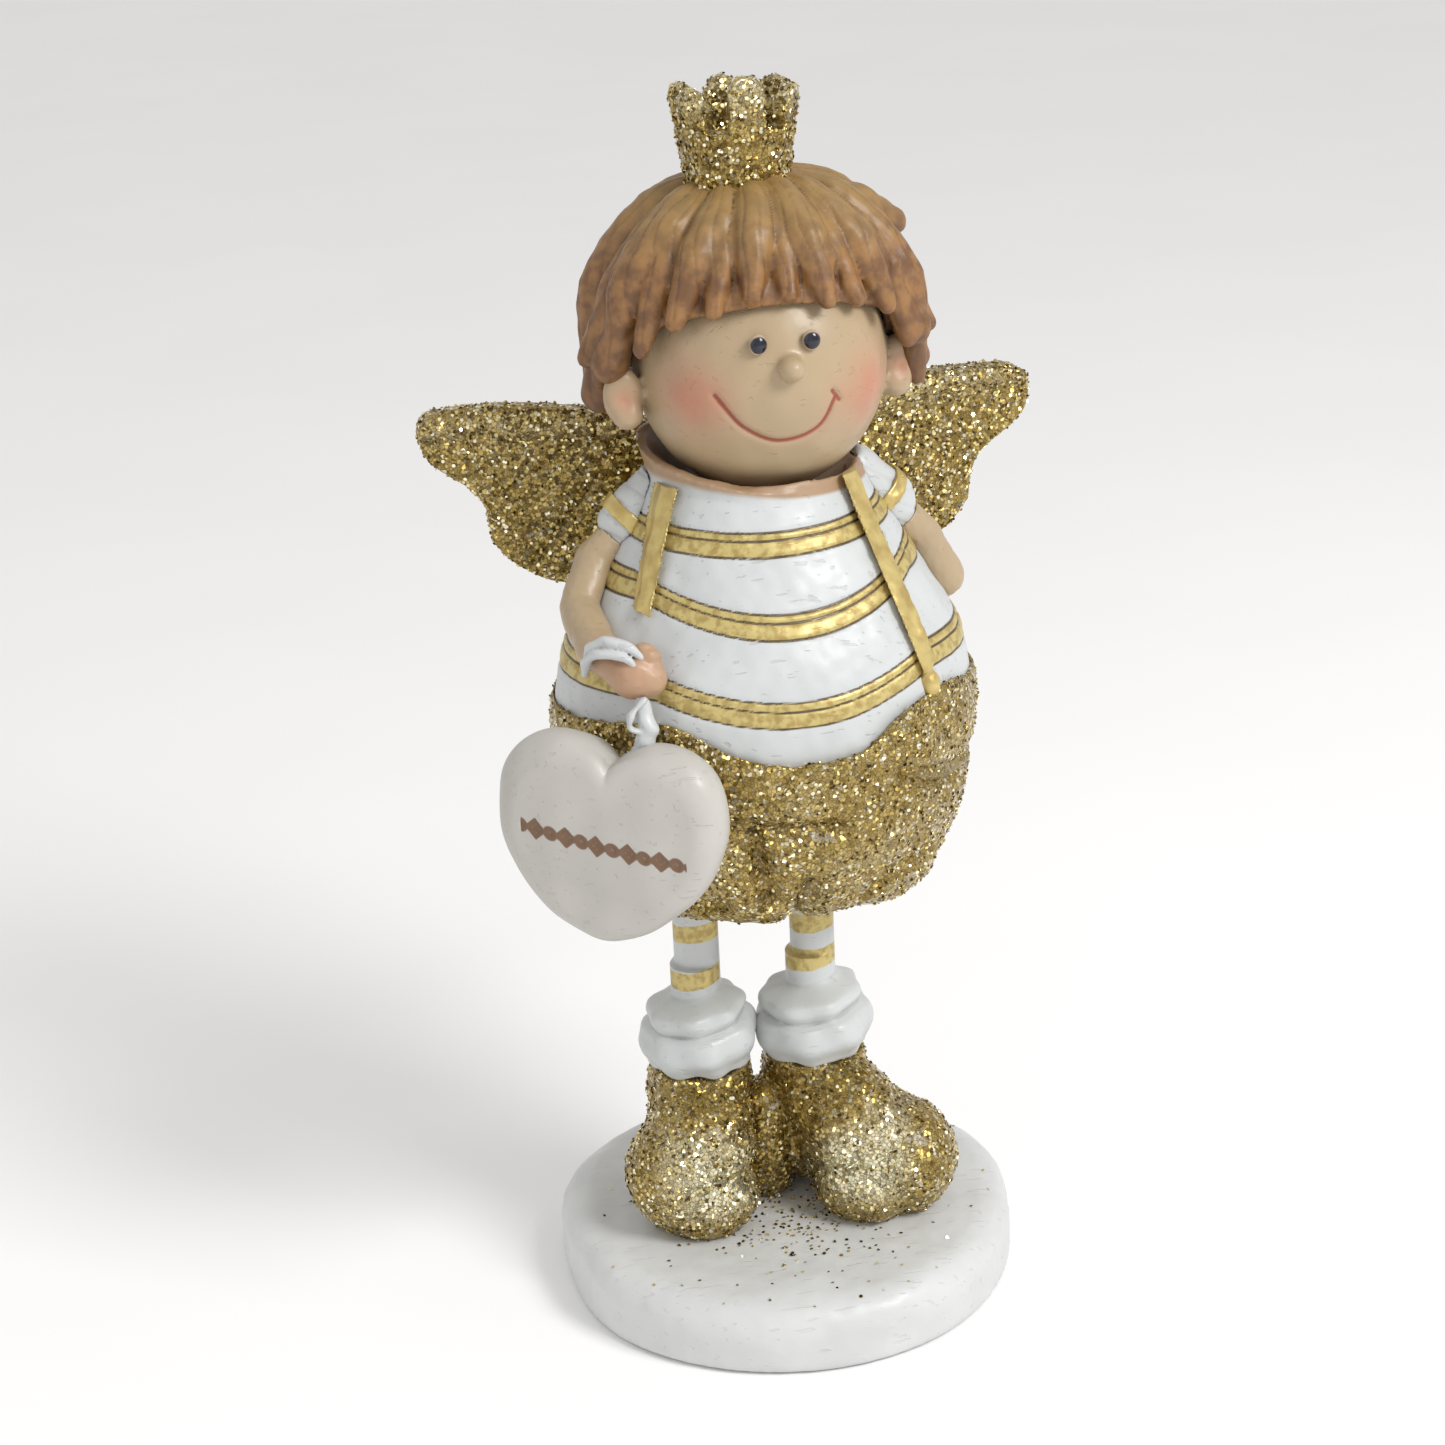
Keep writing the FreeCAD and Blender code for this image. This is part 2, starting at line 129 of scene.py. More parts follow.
def curve_points(points, steps):
    """A Catmull-Rom curve through the points."""
    p = np.array(points, float)
    p = np.vstack([2 * p[0] - p[1], p, 2 * p[-1] - p[-2]])
    out = []
    for a, b, c, d in zip(p, p[1:], p[2:], p[3:]):
        for t in np.arange(steps) / steps:
            out.append(0.5 * (2 * b + (c - a) * t + (2 * a - 5 * b + 4 * c - d) * t * t
                              + (3 * b - a - 3 * c + d) * t ** 3))
    return np.array(out + [p[-2]])


def tube(points, radii, sides=12, steps=5, flat=1.0):
    """A closed, round-ended tube along a smooth curve; flat squeezes it across its second direction."""
    line = curve_points(points, steps)
    r = np.interp(np.linspace(0, 1, len(line)), np.linspace(0, 1, len(radii)), radii)
    along = np.gradient(line, axis=0)
    along /= np.linalg.norm(along, axis=1)[:, None]
    first, last = line[0] - along[0] * r[0] * 0.7, line[-1] + along[-1] * r[-1] * 0.7
    line = np.vstack([line[0] - along[0] * r[0] * 0.45, line, line[-1] + along[-1] * r[-1] * 0.45])
    r = np.concatenate([[r[0] * 0.7], r, [r[-1] * 0.7]])
    along = np.vstack([along[0], along, along[-1]])
    side = np.cross(along[0], (0.3, 0.2, 0.93))
    rings = []
    for centre, axis, radius in zip(line, along, r):
        side = side - axis * np.dot(side, axis)
        side /= np.linalg.norm(side)
        up = np.cross(axis, side)
        angles = np.arange(sides) * 2 * math.pi / sides
        ring = np.outer(np.cos(angles), side) + flat * np.outer(np.sin(angles), up)
        rings.append(centre + radius * ring)
    verts = np.vstack(rings + [first[None], last[None]])
    n = len(rings)
    faces = []
    for i in range(n - 1):
        a, b = i * sides, (i + 1) * sides
        faces += [(a + j, a + (j + 1) % sides, b + (j + 1) % sides, b + j) for j in range(sides)]
    faces += [(n * sides, (j + 1) % sides, j) for j in range(sides)]
    faces += [(n * sides + 1, (n - 1) * sides + j, (n - 1) * sides + (j + 1) % sides) for j in range(sides)]
    return verts, faces


def make_mesh(name, shells):
    verts, faces, start = [], [], 0
    for points, polygons in shells:
        verts.append(points)
        faces += [tuple(i + start for i in f) for f in polygons]
        start += len(points)
    mesh = bpy.data.meshes.new(name)
    mesh.from_pydata((np.vstack(verts) * MM).tolist(), [], faces)
    mesh.update()
    obj = bpy.data.objects.new(name, mesh)
    bpy.context.scene.collection.objects.link(obj)
    return obj


def clay(name, shells, voxel, smooth=4):
    """The shells' union as one smooth closed skin."""
    obj = make_mesh(name, shells)
    remesh = obj.modifiers.new("union", "REMESH")
    remesh.mode = "VOXEL"
    remesh.voxel_size = voxel * MM
    even = obj.modifiers.new("even", "SMOOTH")
    even.factor = 0.5
    even.iterations = smooth
    bpy.context.view_layer.update()
    final = bpy.data.meshes.new_from_object(obj.evaluated_get(bpy.context.evaluated_depsgraph_get()))
    obj.modifiers.clear()
    obj.data = final
    final.name = name
    final.shade_smooth()
    return obj


# ---------------------------------------------------------------- modelling by moving the skin

def skin_of(obj):
    """Vertex places in millimetres about the figure's own axis, and their normals."""
    n = len(obj.data.vertices)
    co, normal = np.empty(n * 3), np.empty(n * 3)
    obj.data.vertices.foreach_get("co", co)
    obj.data.vertices.foreach_get("normal", normal)
    return co.reshape(-1, 3) / MM - AXIS, normal.reshape(-1, 3)


def move_to(obj, p):
    """Put the vertices at new places about the figure's own axis."""
    obj.data.vertices.foreach_set("co", ((p + AXIS) * MM).ravel())
    obj.data.update()


def push(obj, amount):
    """Move the skin along its own normals, by millimetres."""
    p, normal = skin_of(obj)
    move_to(obj, p + normal * amount[:, None])


def mark(obj, name, values):
    """A value in millimetres, or from 0 to 1, that the paint reads."""
    layer = obj.data.attributes.new(name, "FLOAT", "POINT")
    layer.data.foreach_set("value", np.asarray(values, np.float32))


def bump(d, width):
    """1 where d is 0, fading to nothing over about twice the width."""
    return np.exp(-(d / width) ** 2)


def lumps(p, size, seed):
    """A smooth uneven field of about -1 to 1, with features of the given size."""
    rng = np.random.default_rng(seed)
    total = np.zeros(len(p))
    for _ in range(14):
        way = rng.normal(size=3)
        way *= rng.uniform(0.7, 1.5) * 2 * math.pi / size / np.linalg.norm(way)
        total += np.sin(p @ way + rng.uniform(0, 6.28))
    return total / 5.3


def to_line(flat, points):
    """Distance from (a, b) places to a polyline in that plane."""
    best = np.full(len(flat), 1e9)
    for a, b in zip(np.array(points[:-1], float), np.array(points[1:], float)):
        t = np.clip(((flat - a) @ (b - a)) / ((b - a) @ (b - a)), 0, 1)
        best = np.minimum(best, np.linalg.norm(flat - a - t[:, None] * (b - a), axis=1))
    return best


def done(obj, body, slot, paint, *nodes):
    """Paint a piece, fix it to its body and say which CAD nodes it stands for."""
    obj.data.materials.clear()
    obj.data.materials.append(paint)
    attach(obj, body)
    if nodes:
        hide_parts(*nodes)


# ---------------------------------------------------------------- materials

class Graph:
    """Short forms for building one material's nodes."""

    def __init__(self, name, roughness, metallic=0.0, **fixed):
        self.material = bpy.data.materials.new(name)
        self.material.use_nodes = True
        self.tree = self.material.node_tree
        self.shader = self.tree.nodes["Principled BSDF"]
        self.set("Roughness", roughness)
        self.set("Metallic", metallic)
        for socket, value in fixed.items():
            self.set(socket.replace("_", " "), value)
        place = self.node("ShaderNodeTexCoord").outputs["Object"]
        self.mm = self.vector("SCALE", place, Scale=1 / MM)

    def set(self, socket, value):
        self.plug(self.shader.inputs[socket], value)

    def plug(self, socket, value):
        if isinstance(value, bpy.types.NodeSocket):
            self.tree.links.new(value, socket)
        elif isinstance(value, tuple) and len(value) == 3 and socket.type == "RGBA":
            socket.default_value = (*value, 1)
        else:
            socket.default_value = value

    def node(self, kind, settings=None, **inputs):
        node = self.tree.nodes.new(kind)
        for key, value in (settings or {}).items():
            setattr(node, key, value)
        for key, value in inputs.items():
            self.plug(node.inputs[key.replace("_", " ")], value)
        return node

    def math(self, operation, a, b=0.0, c=0.0):
        node = self.node("ShaderNodeMath", {"operation": operation})
        for socket, value in zip(node.inputs, (a, b, c)):
            self.plug(socket, value)
        return node.outputs[0]

    def vector(self, operation, a, b=None, **named):
        node = self.node("ShaderNodeVectorMath", {"operation": operation}, **named)
        self.plug(node.inputs[0], a)
        if b is not None:
            self.plug(node.inputs[1], b)
        return node.outputs["Vector"]

    def noise(self, size, detail=3.0, where=None):
        """Noise from 0 to 1 with features of the given size in millimetres."""
        node = self.node("ShaderNodeTexNoise", Vector=where or self.mm, Scale=1 / size, Detail=detail)
        return node.outputs["Fac"]

    def ramp(self, value, start, end):
        """0 at the start value and 1 at the end value, eased between them."""
        node = self.node("ShaderNodeMapRange", {"interpolation_type": "SMOOTHSTEP"})
        for socket, v in zip(node.inputs, (value, start, end, 0.0, 1.0)):
            self.plug(socket, v)
        return node.outputs[0]

    def mix(self, factor, a, b):
        node = self.node("ShaderNodeMix", {"data_type": "RGBA"})
        self.plug(node.inputs[0], factor)
        self.plug(node.inputs[6], a)
        self.plug(node.inputs[7], b)
        return node.outputs[2]

    def value(self, name):
        return self.node("ShaderNodeAttribute", {"attribute_name": name}).outputs["Fac"]

    def raised(self, height, distance, strength=0.6):
        node = self.node("ShaderNodeBump", Strength=strength, Distance=distance * MM, Height=height)
        self.set("Normal", node.outputs[0])

    def crease_shade(self):
        """1 in creases, 0 on open surface: where painted shade goes."""
        point = self.node("ShaderNodeNewGeometry").outputs["Pointiness"]
        return self.ramp(point, 0.49, 0.44)


def scratches(g):
    """Short fine engraved strokes: noise stretched along a slanted direction."""
    turned = g.node("ShaderNodeMapping", Vector=g.mm, Rotation=(0.5, 0.7, 0.4), Scale=(0.22, 2.6, 1.9))
    return g.ramp(g.noise(1.0, 2.0, turned.outputs[0]), 0.655, 0.70)


def painted(name, base, shade, roughness=0.42, marks=None, stroke=0.07):
    """Satin paint, uneven by hand, with painted shade in the creases and fine strokes; marks adds painted
    areas.
    """
    g = Graph(name, roughness, Coat_Weight=0.06)
    colour = g.mix(g.ramp(g.noise(7.0), 0.35, 0.7), base, tuple(0.93 * c for c in base))
    strokes = scratches(g)
    colour = g.mix(g.math("MULTIPLY", strokes, stroke), colour, shade)
    for layer in marks(g) if marks else ():
        colour = g.mix(*layer(colour))
    # painted shade: creases darkened towards the shade colour
    colour = g.mix(g.math("MULTIPLY", g.crease_shade(), 0.55), colour, shade)
    g.set("Base Color", colour)
    g.set("Roughness", g.math("MULTIPLY_ADD", g.noise(1.5), 0.22, roughness - 0.1))
    fine = g.math("SUBTRACT", g.math("MULTIPLY", g.noise(0.5), 0.35), strokes)
    g.raised(fine, 0.08)
    return g.material


WHITE, WHITE_SHADE, PLATE_WHITE = (0.555, 0.575, 0.575), (0.27, 0.25, 0.225), (0.63, 0.64, 0.635)
HEART, HEART_SHADE, ORNAMENT = (0.49, 0.47, 0.435), (0.30, 0.24, 0.18), (0.15, 0.07, 0.028)
GOLD, GOLD_DEEP, GOLD_DARK = (0.57, 0.425, 0.135), (0.31, 0.21, 0.052), (0.075, 0.045, 0.012)
GLINT, PALE_GOLD = (0.93, 0.84, 0.60), (0.90, 0.84, 0.58)
FLAKE_DARK, FLAKE_GOLD, FLAKE_FLASH = (0.17, 0.11, 0.028), (0.76, 0.61, 0.25), (0.98, 0.92, 0.70)
STRIPE, STRIPE_DEEP = (0.57, 0.46, 0.18), (0.40, 0.29, 0.095)
TRIM, TRIM_DEEP = (0.62, 0.49, 0.19), (0.45, 0.32, 0.11)
SKIN, SKIN_SHADE, NECK_SKIN_IN_SHADE = (0.425, 0.32, 0.195), (0.20, 0.11, 0.055), (0.36, 0.235, 0.14)
BLUSH, LIPS = (0.50, 0.14, 0.085), (0.30, 0.055, 0.028)
EYE, EYE_SHEEN, EYE_RIM_HIGHLIGHT = (0.005, 0.006, 0.012), (0.012, 0.016, 0.034), (0.62, 0.47, 0.33)
HAIR, HAIR_SHADE, HAIR_HIGHLIGHT = (0.285, 0.140, 0.046), (0.155, 0.070, 0.026), (0.31, 0.205, 0.068)
HAIR_TIPS, HAIR_GROOVE_SHADE = (0.105, 0.045, 0.018), (0.07, 0.03, 0.013)
PEG, PEG_SHADE = (0.62, 0.59, 0.52), (0.54, 0.51, 0.45)
STEEL, STEEL_SHADE = (0.42, 0.42, 0.43), (0.30, 0.30, 0.31)
PAPER, PAPER_SHADE = (0.97, 0.97, 0.97), (0.955, 0.955, 0.955)


def over(factor, paint):
    """One painted layer over the colour below it."""
    return lambda colour: (factor, colour, paint)


def gold_area(g, name):
    """Gold paint where the named signed distance is negative, with a brushed, slightly uneven edge."""
    soft = 0.09
    edge = g.math("MULTIPLY_ADD", g.math("SUBTRACT", g.noise(1.2), 0.5), 0.5, g.value(name))
    inside = g.ramp(edge, soft, -soft)
    g.set("Metallic", g.math("MULTIPLY", inside, 0.35))
    return over(inside, g.mix(g.ramp(g.noise(0.8), 0.4, 0.65), STRIPE, STRIPE_DEEP))


def leg_marks(g):
    return [gold_area(g, "band")]


def shirt_marks(g):
    """Gold stripes, the dark lines engraved along them, and skin paint inside the neckline, in a darker tone
    that is painted shade under the head.
    """
    lines = g.ramp(g.value("line"), 0.17, 0.07)
    # skin paint inside the neck's cup, darkened as painted shade under the head
    neck = g.ramp(g.value("inside"), 0.15, -0.15)
    return [gold_area(g, "stripe"), over(lines, GOLD_DARK), over(neck, NECK_SKIN_IN_SHADE)]


def glitter(name):
    """Packed flakes in clear varnish: each cell tilts its own way and catches the light by itself, and a few
    cells carry a painted glint.
    """
    cell = 0.36
    g = Graph(name, 0.3, 0.85, Coat_Weight=0.25, Coat_Roughness=0.12)
    cells = g.node("ShaderNodeTexVoronoi", Vector=g.mm, Scale=1 / cell)
    tilt = g.vector("SUBTRACT", cells.outputs["Color"], (0.5, 0.5, 0.5))
    normal = g.node("ShaderNodeNewGeometry").outputs["Normal"]
    leaning = g.vector("ADD", normal, g.vector("SCALE", tilt, Scale=1.25))
    g.set("Normal", g.vector("NORMALIZE", leaning))
    pick = g.node("ShaderNodeSeparateColor", Color=cells.outputs["Color"]).outputs[1]
    colour = g.mix(g.ramp(pick, 0.2, 0.75), GOLD_DEEP, GOLD)
    # painted highlight: a few cells painted as bright glints
    colour = g.mix(g.ramp(pick, 0.86, 0.93), colour, GLINT)
    colour = g.mix(g.value("pale"), colour, PALE_GOLD)
    rim = g.node("ShaderNodeTexVoronoi", {"feature": "DISTANCE_TO_EDGE"}, Vector=g.mm, Scale=1 / cell)
    gaps_and_shade = g.ramp(rim.outputs["Distance"], 0.10, 0.03)
    # painted shade: creases darkened like the dark gaps between flakes
    gaps_and_shade = g.math("MAXIMUM", gaps_and_shade, g.math("MULTIPLY", g.crease_shade(), 0.8))
    g.set("Base Color", g.mix(g.math("MULTIPLY", gaps_and_shade, 0.75), colour, GOLD_DARK))
    g.set("Roughness", g.math("MULTIPLY_ADD", pick, 0.25, 0.18))
    return g.material


def flake_metal():
    """Bare foil: most flakes dark or gold, and a few painted as bright glints."""
    g = Graph("flake_metal", 0.2, 1.0)
    tone = g.value("tone")
    colour = g.mix(g.ramp(tone, 0.2, 0.7), FLAKE_DARK, FLAKE_GOLD)
    # painted highlight: the flash tone is a painted glint
    g.set("Base Color", g.mix(g.ramp(tone, 0.72, 0.86), colour, FLAKE_FLASH))
    g.set("Roughness", g.math("MULTIPLY_ADD", g.noise(0.2), 0.2, 0.12))
    return g.material


def hair_paint():
    """Streaked brown, with a painted highlight of gold over the crown, painted shade in the grooves, and
    darker towards the tips.
    """
    g = Graph("hair_paint", 0.46, Coat_Weight=0.06, Coat_Roughness=0.3)
    streaks = g.noise(1.6, 4.0)
    colour = g.mix(g.ramp(streaks, 0.35, 0.65), HAIR_SHADE, HAIR)
    # painted highlight: gold over the top of the hair
    colour = g.mix(g.math("MULTIPLY", g.value("crown"), 0.6), colour, HAIR_HIGHLIGHT)
    colour = g.mix(g.math("MULTIPLY", g.value("tips"), 0.6), colour, HAIR_TIPS)
    # painted shade in creases and grooves
    groove = g.math("MAXIMUM", g.crease_shade(), g.value("groove"))
    g.set("Base Color", g.mix(g.math("MULTIPLY", groove, 0.72), colour, HAIR_GROOVE_SHADE))
    g.raised(g.noise(0.35), 0.05, 0.4)
    return g.material


def eye_paint():
    g = Graph("eye_gloss", 0.16, Coat_Weight=0.2, Coat_Roughness=0.08)
    tone = g.mix(g.ramp(g.noise(0.6), 0.4, 0.7), EYE, EYE_SHEEN)
    # painted highlight round the dome's edge
    g.set("Base Color", g.mix(g.value("rim"), tone, EYE_RIM_HIGHLIGHT))
    return g.material


def plain(name, base, shade, roughness, metallic=0.0):
    """Gold trim, moulded plastic or drawn wire: fine grain and faint flow marks."""
    g = Graph(name, roughness, metallic)
    g.set("Base Color", g.mix(g.ramp(g.noise(1.8), 0.35, 0.7), base, shade))
    g.set("Roughness", g.math("MULTIPLY_ADD", g.noise(0.4), 0.2, roughness - 0.1))
    g.raised(g.noise(0.25), 0.03)
    return g.material


def face_marks(g):
    rosy = g.math("MULTIPLY", g.value("blush"), g.math("MULTIPLY_ADD", g.noise(1.1), 0.5, 0.5))
    smile = g.ramp(g.value("smile"), 0.27, 0.08)
    return [over(rosy, BLUSH), over(smile, LIPS)]


def hand_marks(g):
    return [over(g.math("MULTIPLY", g.value("blush"), 0.5), BLUSH)]


def heart_marks(g):
    row = g.ramp(g.value("ornament"), 0.38, 0.22)
    return [over(g.math("MULTIPLY", row, 0.95), ORNAMENT)]


PAINT = {
    "plate": painted("plate_paint", PLATE_WHITE, WHITE_SHADE),
    "white": painted("white_paint", WHITE, WHITE_SHADE, stroke=0.22),
    "shirt": painted("shirt_paint", WHITE, WHITE_SHADE, marks=shirt_marks, stroke=0.22),
    "legs": painted("leg_paint", WHITE, WHITE_SHADE, marks=leg_marks),
    "heart": painted("heart_paint", HEART, HEART_SHADE, marks=heart_marks),
    "skin": painted("skin_paint", SKIN, SKIN_SHADE, roughness=0.4, marks=hand_marks),
    "face": painted("face_paint", SKIN, SKIN_SHADE, roughness=0.38, marks=face_marks),
    "gold": plain("gold_paint", TRIM, TRIM_DEEP, 0.34, metallic=0.45),
    "glitter": glitter("gold_glitter"),
    "flake": flake_metal(),
    "hair": hair_paint(),
    "eye": eye_paint(),
    "peg": plain("peg_plastic", PEG, PEG_SHADE, 0.5),
    "steel": plain("spring_steel", STEEL, STEEL_SHADE, 0.32, metallic=1.0),
}


# ---------------------------------------------------------------- glitter flakes

def flakes(name, source, count, seed, body, keep=None):
    """Small closed hexagonal flakes lying on another piece's skin, each tilted its own way."""
    sides, half_thick = 6, 0.02
    rng = np.random.default_rng(seed)
    mesh = source.data
    mesh.calc_loop_triangles()
    tris = np.empty(len(mesh.loop_triangles) * 3, np.int32)
    mesh.loop_triangles.foreach_get("vertices", tris)
    corners = (skin_of(source)[0] + AXIS)[tris.reshape(-1, 3)]
    cross = np.cross(corners[:, 1] - corners[:, 0], corners[:, 2] - corners[:, 0])
    area = np.linalg.norm(cross, axis=1)
    weight = area * keep(corners.mean(axis=1) - AXIS) if keep else area
    pick = rng.choice(len(area), count, p=weight / weight.sum())
    a, b = rng.uniform(size=(2, count))
    flip = a + b > 1
    a[flip], b[flip] = 1 - a[flip], 1 - b[flip]
    c = corners[pick]
    place = c[:, 0] + a[:, None] * (c[:, 1] - c[:, 0]) + b[:, None] * (c[:, 2] - c[:, 0])
    up = cross[pick] / area[pick][:, None]
    place = place + up * rng.uniform(0.02, 0.10, count)[:, None]
    up = up + rng.normal(scale=0.38, size=up.shape)
    up /= np.linalg.norm(up, axis=1)[:, None]
    side = np.cross(up, rng.normal(size=up.shape))
    side /= np.linalg.norm(side, axis=1)[:, None]
    other = np.cross(up, side)
    radius = FLAKE * rng.uniform(0.75, 1.2, count)
    angle = np.arange(sides) * 2 * math.pi / sides
    ring = side[:, None] * np.cos(angle)[None, :, None] + other[:, None] * np.sin(angle)[None, :, None]
    ring = place[:, None] + ring * radius[:, None, None]
    thick = up[:, None] * half_thick
    verts = np.concatenate([ring + thick, ring - thick], axis=1).reshape(-1, 3)
    shape = [tuple(range(sides)), tuple(range(2 * sides - 1, sides - 1, -1))]
    shape += [(i, i + sides, (i + 1) % sides + sides, (i + 1) % sides) for i in range(sides)]
    faces = [tuple(i + 2 * sides * k for i in f) for k in range(count) for f in shape]
    obj = make_mesh(name, [(verts, faces)])
    mark(obj, "tone", np.repeat(rng.uniform(size=count), 2 * sides))
    done(obj, body, "gold_glitter", PAINT["flake"])


# ---------------------------------------------------------------- plate, shoes, cuffs, legs

DENT = (13.5, -17.0)          # a shallow dent in the plate's top, from the figure's axis


def plate():
    obj = clay("plate_cast", [node_shell("base_plate")], voxel=0.5, smooth=6)
    p, _ = skin_of(obj)
    above = np.clip((p[:, 2] - 1.0) / 2, 0, 1)
    dent = bump(np.linalg.norm(p[:, :2] - DENT, axis=1), 4.0)
    push(obj, above * (0.16 * lumps(p, 11, 1) + 0.05 * lumps(p, 2.6, 2) - 0.35 * dent))
    done(obj, "figure", "white_paint", PAINT["plate"], "base_plate")
    toes = (middle("right_shoe") * 0.5 + middle("left_shoe") * 0.5 - AXIS)[:2] + (0, -5)
    top = high("base_plate")[2] - 0.6

    def spilled(c):
        """Flakes lie on the top only, thickest between and before the toes."""
        return (c[:, 2] > top) * (0.02 + bump(np.linalg.norm(c[:, :2] - toes, axis=1), 8.0))

    flakes("plate_flakes", obj, 420, 3, "figure", spilled)


def shoe(side, seed):
    """A boot with a high instep and a bulb of a toe, where the glitter is paler."""
    node = f"{side}_shoe"
    toe = spot(node, 0.5, 0.28, 0.4)
    ankle = middle(f"{side}_sock_cuff") * (1, 1, 0) + (0, -0.6, high(node)[2] - 3.2)
    front = (ankle + toe * 2) / 3 + (0, 0, 1.2)
    shells = [node_shell(node), tube([ankle, front, toe + (0, 0, 0.8)], [4.6, 5.5, 5.2], sides=20),
              ball(toe + (0, 0, -3.0), (5.7, 5.6, 4.2))]
    if side == "left":
        seam = (spot("right_shoe", 1, 0.5, 0.42) + spot("left_shoe", 0, 0.5, 0.42)) / 2
        shells.append(ball(seam + (0, 2.0, -1.0), (3.4, 4.2, 7.0)))
    obj = clay(f"{node}_cast", shells, voxel=0.3, smooth=8)
    p, _ = skin_of(obj)
    from_toe = np.linalg.norm(p - (toe - AXIS), axis=1)
    seam_line = bump(from_toe - 6.6, 0.7)
    push(obj, 0.14 * lumps(p, 5, seed) + 0.07 * lumps(p, 1.6, seed + 1) - 0.15 * seam_line)
    mark(obj, "pale", 0.9 * np.clip((6.8 - from_toe) / 1.6, 0, 1))
    done(obj, "figure", "gold_glitter", PAINT["glitter"], node)
    flakes(f"{node}_flakes", obj, 2300, seed + 2, "figure")


# each gold band's drop below the leg's top and half its width
LEG_BANDS = {"right": [(6.2, 0.9), (10.9, 0.95)], "left": [(6.4, 1.0), (10.2, 1.0)]}


def sock_cuff(side, seed):
    """A turned-down cuff in two rolls that draws in to the leg, which wears two gold bands."""
    node, leg = f"{side}_sock_cuff", f"{side}_leg"
    x, y, _ = middle(node) - AXIS
    foot, leg_r = low(node)[2], 2.5
    obj = clay(f"{node}_cast", [node_shell(node), node_shell(leg)], voxel=0.25, smooth=6)
    p, _ = skin_of(obj)
    around = np.arctan2(p[:, 1] - y, p[:, 0] - x)
    up = p[:, 2] - foot
    outer = np.hypot(p[:, 0] - x, p[:, 1] - y) > leg_r + 0.5
    tilt = 0.7 * np.cos(around - 0.6)
    rolls = 0.5 * bump(up - 2.8 - tilt, 1.3) - 0.75 * bump(up - 5.3 - tilt, 0.5)
    folds = 0.18 * np.sin(around * 7 + 0.6 * p[:, 2] + seed) + 0.10 * lumps(p, 3.0, seed)
    push(obj, outer * (rolls + folds) * (up < 8.2))
    p, _ = skin_of(obj)
    middle_line = np.array((x, y))
    reach = np.linalg.norm(p[:, :2] - middle_line, axis=1)
    close = np.clip((p[:, 2] - foot - 6.5 - 0.5 * np.cos(around)) / 1.6, 0, 1)
    close = close * close * (3 - 2 * close)
    slim = np.minimum(reach, leg_r + (reach - leg_r) * (1 - close)) / np.maximum(reach, 0.1)
    p[:, :2] = middle_line + (p[:, :2] - middle_line) * np.where(reach > leg_r, slim, 1)[:, None]
    move_to(obj, p)
    p, _ = skin_of(obj)
    down = high(leg)[2] - p[:, 2] + 0.14 * (p[:, 0] - x)
    away = np.min([np.abs(down - drop) - half for drop, half in LEG_BANDS[side]], axis=0)
    mark(obj, "band", np.where(p[:, 2] - foot > 8.5, away, 1.0))
    done(obj, "figure", "banded_stocking", PAINT["legs"], node, leg)


# ---------------------------------------------------------------- shorts, shirt, straps

# the shorts' creases in front, repeated mirrored behind: across, and up from the shorts' bottom
CREASES = [[(-3.8, 8.9), (-4.6, 13.1), (-5.4, 16.2)], [(-9.6, 18.3), (-3.4, 16.8), (2.7, 16.1)],
           [(-0.9, 2.6), (-0.4, 6.6), (0.4, 10.1)], [(6.0, 6.1), (9.0, 9.1), (13.5, 10.2)],
           [(10.0, 20.6), (14.5, 18.6), (18.5, 18.2)], [(-16.5, 8.6), (-12.5, 6.8), (-8.0, 7.8)]]
# each stripe's drop below the shirt's top, its rise per square millimetre across, and its width
STRIPES = [(5.0, 0.005, 2.1), (11.9, 0.0185, 2.15), (19.5, 0.0165, 2.4)]


def shorts():
    """Puffed shorts with pinched creases and a hem drawn up round the legs."""
    obj = clay("shorts_cast", [node_shell("shorts")], voxel=0.35, smooth=10)
    bottom = low("shorts")[2].round(3)
    p, _ = skin_of(obj)
    change = 0.28 * lumps(p, 9, 21) + 0.09 * lumps(p, 2.2, 22)
    for crease in CREASES:
        for mirror, facing in ((1, p[:, 1] < 0), (-1, p[:, 1] > 0)):
            flat = (p[:, (0, 2)] - (0, bottom)) * (mirror, 1)
            change -= 1.25 * bump(to_line(flat, crease), 1.0) * facing
    push(obj, change)
    mark(obj, "pale", np.clip(0.12 * lumps(p, 12, 23), 0, 1))
    p, _ = skin_of(obj)
    p[:, 2] += 2.5 * np.clip((bottom + 7.6 - p[:, 2]) / 7, 0, 1)
    move_to(obj, p)
    done(obj, "figure", "gold_glitter", PAINT["glitter"], "shorts")
    flakes("shorts_flakes", obj, 9300, 24, "figure")


